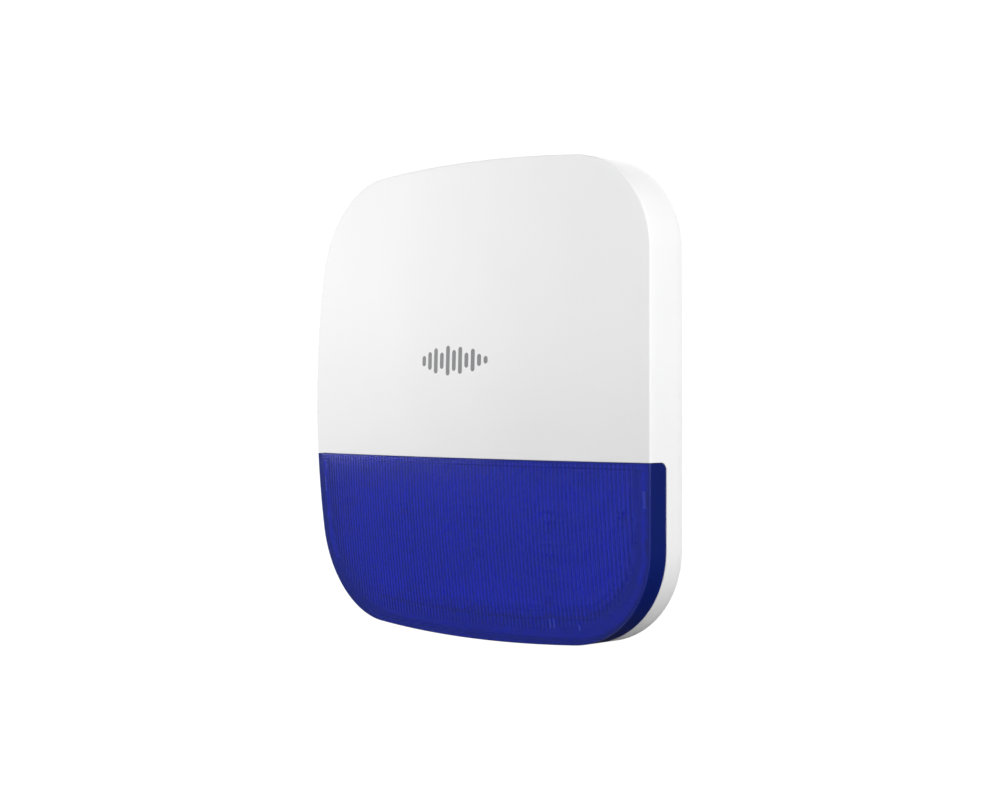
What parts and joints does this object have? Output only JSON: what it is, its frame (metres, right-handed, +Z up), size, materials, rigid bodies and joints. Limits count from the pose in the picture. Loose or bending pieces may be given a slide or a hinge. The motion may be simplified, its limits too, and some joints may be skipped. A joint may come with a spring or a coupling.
{
  "type": "alarm siren",
  "caption": "Wall-mounted outdoor alarm siren: domed rounded-square cover with a wrap-round blue strobe lens, rear case, hang-on wall bracket.",
  "frame": {"origin": "centre of the wall bracket's back face, on the wall plane", "axes": "+X right as seen from the front, +Y into the wall, +Z up"},
  "size_m": [0.24, 0.062, 0.24],
  "materials": {
    "cover_plastic": "fine satin moulding",
    "lens_plastic": "clear tinted polycarbonate, gloss",
    "case_plastic": "satin moulding",
    "reflector_plastic": "gloss white",
    "seal_rubber": "matt",
    "screw_steel": "bright zinc",
    "shield_steel": "tinned",
    "board_laminate": "green solder mask",
    "led_laminate": "white solder mask",
    "led_resin": "clear resin over phosphor",
    "black_plastic": "satin moulding",
    "white_key": "satin",
    "red_key": "satin",
    "cell_sleeve": "heat-shrink sleeve",
    "lead_sheath": "soft insulation"
  },
  "bodies": {
    "bracket": {"wall_bracket": "case_plastic"},
    "case": {"rear_case": "case_plastic", "cover_seal": "seal_rubber", "light_reflector": "reflector_plastic", "led_board": "led_laminate", "main_board": "board_laminate", "radio_shield": "shield_steel", "storage_capacitor": "black_plastic", "cover_switch_body": "black_plastic", "pairing_button_body": "black_plastic", "power_switch_body": "black_plastic", "wall_plunger_cap": "black_plastic", "wall_switch_body": "black_plastic", "wall_plunger_spring": "screw_steel", "siren_driver": "black_plastic", "siren_horn": "case_plastic", "sound_membrane": "seal_rubber", "battery_holder": "black_plastic", "battery_contact_lower": "screw_steel", "battery_contact_upper": "screw_steel", "aerial_strip": "board_laminate", "aerial_lead": "lead_sheath", "siren_lead": "lead_sheath", "battery_lead": "lead_sheath", "led_lead": "lead_sheath", "strobe_led_1": "led_resin", "strobe_led_2": "led_resin", "strobe_led_3": "led_resin", "strobe_led_4": "led_resin", "strobe_led_5": "led_resin", "strobe_led_6": "led_resin", "reflector_screw_1": "screw_steel", "reflector_screw_2": "screw_steel", "reflector_screw_3": "screw_steel", "reflector_screw_4": "screw_steel", "board_screw_1": "screw_steel", "board_screw_2": "screw_steel", "board_screw_3": "screw_steel", "board_screw_4": "screw_steel", "driver_screw_1": "screw_steel", "driver_screw_2": "screw_steel", "driver_screw_3": "screw_steel", "driver_screw_4": "screw_steel", "battery_cell_1": "cell_sleeve", "battery_cell_2": "cell_sleeve", "battery_cell_3": "cell_sleeve", "battery_cell_4": "cell_sleeve"},
    "cover": {"front_cover": "cover_plastic", "strobe_lens": "lens_plastic"},
    "lock_screw": {"cover_lock_screw": "screw_steel"},
    "wall_plunger": {"wall_plunger": "black_plastic"},
    "cover_plunger": {"cover_switch_plunger": "white_key"},
    "pairing_button": {"pairing_button": "red_key"},
    "power_lever": {"power_switch_lever": "white_key"}
  },
  "joints": [
    {"name": "case_lift", "type": "slide", "parent": "bracket", "child": "case", "axis": [0, 0, 1], "range_m": [0, 0.01]},
    {"name": "cover_swing", "type": "hinge", "parent": "case", "child": "cover", "pos_m": [0, -0.0286, 0.1134], "axis": [-1, 0, 0], "range_deg": [0, 40]},
    {"name": "lock_screw_turn", "type": "hinge", "parent": "case", "child": "lock_screw", "pos_m": [0, -0.0312, -0.11], "axis": [0, 0, 1], "continuous": true},
    {"name": "wall_plunger_press", "type": "slide", "parent": "case", "child": "wall_plunger", "axis": [0, -1, 0], "range_m": [0, 0.002], "stiffness_N_per_m": 200, "deforming": ["wall_plunger_spring"]},
    {"name": "cover_switch_press", "type": "slide", "parent": "case", "child": "cover_plunger", "axis": [0, 1, 0], "range_m": [0, 0.001], "stiffness_N_per_m": 150},
    {"name": "pairing_button_press", "type": "slide", "parent": "case", "child": "pairing_button", "axis": [0, 1, 0], "range_m": [0, 0.0006], "stiffness_N_per_m": 150},
    {"name": "power_switch_slide", "type": "slide", "parent": "case", "child": "power_lever", "axis": [1, 0, 0], "range_m": [0, 0.0045]}
  ]
}
